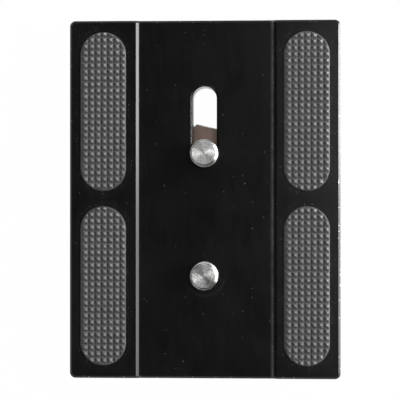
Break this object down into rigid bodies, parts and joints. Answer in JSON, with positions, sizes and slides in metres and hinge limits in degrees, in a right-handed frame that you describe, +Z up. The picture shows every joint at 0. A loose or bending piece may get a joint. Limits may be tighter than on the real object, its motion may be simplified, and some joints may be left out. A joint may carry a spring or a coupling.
{
  "type": "tripod quick release plate",
  "caption": "Black rectangular tripod quick release plate with a channelled top, pyramid-faced rubber grip pads, dovetail sides and captive camera screws, fixed and sliding.",
  "frame": {"origin": "under the middle of the plate, on the surface that its underside rests on", "axes": "+X across the plate, +Y along it towards the slot, +Z up, out of the side that the camera sits on"},
  "size_m": [0.062, 0.082, 0.0164],
  "materials": {
    "black_anodised": "satin black anodised",
    "grip_rubber": "moulded, matt with a slight sheen",
    "turned_steel": "bright turned",
    "brown_fibre": "pressed fibre, matt"
  },
  "bodies": {
    "plate_body": {"plate": "black_anodised", "grip_pad_upper_left": "grip_rubber", "grip_pad_upper_right": "grip_rubber", "grip_pad_lower_left": "grip_rubber", "grip_pad_lower_right": "grip_rubber", "fixed_washer": "brown_fibre"},
    "slider": {"sliding_washer": "brown_fibre"},
    "sliding_screw_body": {"sliding_screw": "turned_steel"},
    "fixed_screw_body": {"fixed_screw": "turned_steel"}
  },
  "joints": [
    {"name": "slot_slide", "type": "slide", "parent": "plate_body", "child": "slider", "axis": [0, 1, 0], "range_m": [0, 0.0127]},
    {"name": "sliding_screw_turn", "type": "hinge", "parent": "slider", "child": "sliding_screw_body", "pos_m": [0, 0.01045, 0.0106], "axis": [0, 0, 1], "continuous": true},
    {"name": "fixed_screw_turn", "type": "hinge", "parent": "plate_body", "child": "fixed_screw_body", "pos_m": [0, -0.01735, 0.0106], "axis": [0, 0, 1], "continuous": true}
  ]
}
